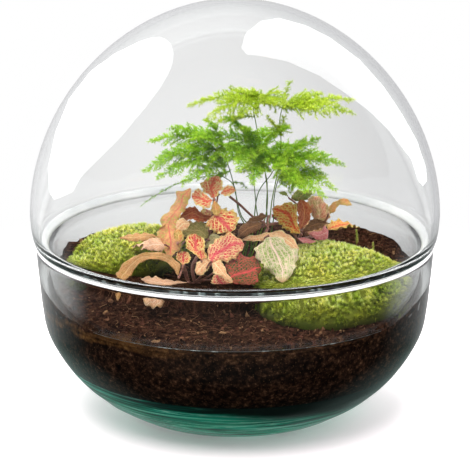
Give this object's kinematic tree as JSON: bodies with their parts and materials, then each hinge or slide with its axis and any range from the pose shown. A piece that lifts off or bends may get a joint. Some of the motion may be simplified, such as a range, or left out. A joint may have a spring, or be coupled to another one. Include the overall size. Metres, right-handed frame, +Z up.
{
  "type": "glass plant terrarium",
  "caption": "Flattened globe of clear glass: a footless bowl with a domed lid resting on its rim, holding soil, moss cushions, a feathery fern and low plants with veined pink leaves.",
  "frame": {"origin": "middle of the flat ring that the bowl stands on", "axes": "+Z up, along the glass's axis; -Y is the front, with the wide view of the plants; +X is to the right seen from the front"},
  "size_m": [0.3, 0.3, 0.3022],
  "materials": {
    "glass": "clear, glossy",
    "soil": "matte, crumbly",
    "moss": "matte, tufted",
    "leaf_coral": "satin",
    "leaf_orange": "satin",
    "leaf_red": "satin",
    "leaf_cream": "satin",
    "leaf_green": "satin",
    "leaf_tan": "satin",
    "stem_brown": "satin",
    "fern_lime": "matte",
    "fern_green": "matte"
  },
  "bodies": {
    "root": {"fern_stem_back": "fern_green", "fern_stem_centre": "fern_green", "fern_stem_drooping": "fern_green", "fern_stem_low_right": "fern_green", "fern_stem_mid_left": "fern_green", "fern_stem_mid_right": "fern_green", "fern_stem_top_left": "fern_lime", "fern_stem_top_right": "fern_lime", "glass_bowl": "glass", "glass_dome": "glass", "moss_left": "moss", "moss_right": "moss", "moss_shoot_a": "moss", "moss_shoot_b": "moss", "nerve_leaf_back_a": "leaf_tan", "nerve_leaf_back_b": "leaf_tan", "nerve_leaf_back_c": "leaf_tan", "nerve_leaf_back_d": "leaf_tan", "nerve_leaf_back_e": "leaf_tan", "nerve_leaf_back_f": "leaf_tan", "nerve_leaf_back_g": "leaf_tan", "nerve_leaf_brown_centre": "leaf_tan", "nerve_leaf_centre_small": "leaf_tan", "nerve_leaf_cream_curl": "leaf_cream", "nerve_leaf_cream_low": "leaf_cream", "nerve_leaf_cream_small": "leaf_cream", "nerve_leaf_hanging": "leaf_coral", "nerve_leaf_left": "leaf_orange", "nerve_leaf_olive_back": "leaf_green", "nerve_leaf_pale": "leaf_cream", "nerve_leaf_pale_back": "leaf_cream", "nerve_leaf_pink_large": "leaf_coral", "nerve_leaf_pink_mid": "leaf_coral", "nerve_leaf_pink_small": "leaf_coral", "nerve_leaf_red_curled": "leaf_red", "nerve_leaf_red_green": "leaf_red", "nerve_leaf_red_low": "leaf_coral", "nerve_leaf_right_brown": "leaf_red", "nerve_leaf_right_bud": "leaf_green", "nerve_leaf_right_crumpled": "leaf_tan", "nerve_leaf_right_green_top": "leaf_green", "nerve_leaf_right_orange": "leaf_orange", "nerve_leaf_right_peach": "leaf_tan", "nerve_leaf_right_pink_ground": "leaf_coral", "nerve_leaf_right_pink_low": "leaf_coral", "nerve_leaf_right_yellow_tip": "leaf_orange", "nerve_leaf_round": "leaf_coral", "nerve_leaf_tall": "leaf_orange", "nerve_leaf_tan_arched": "leaf_tan", "nerve_leaf_tan_flat": "leaf_tan", "nerve_leaf_tan_low": "leaf_tan", "nerve_leaf_tan_mid": "leaf_tan", "nerve_leaf_top_left": "leaf_coral", "nerve_leaf_top_small": "leaf_orange", "nerve_leaf_top_up": "leaf_coral", "nerve_leaf_yellow_small": "leaf_orange", "nerve_stems_centre": "stem_brown", "nerve_stems_left": "stem_brown", "nerve_stems_right": "stem_brown", "soil": "soil"}
  },
  "joints": []
}
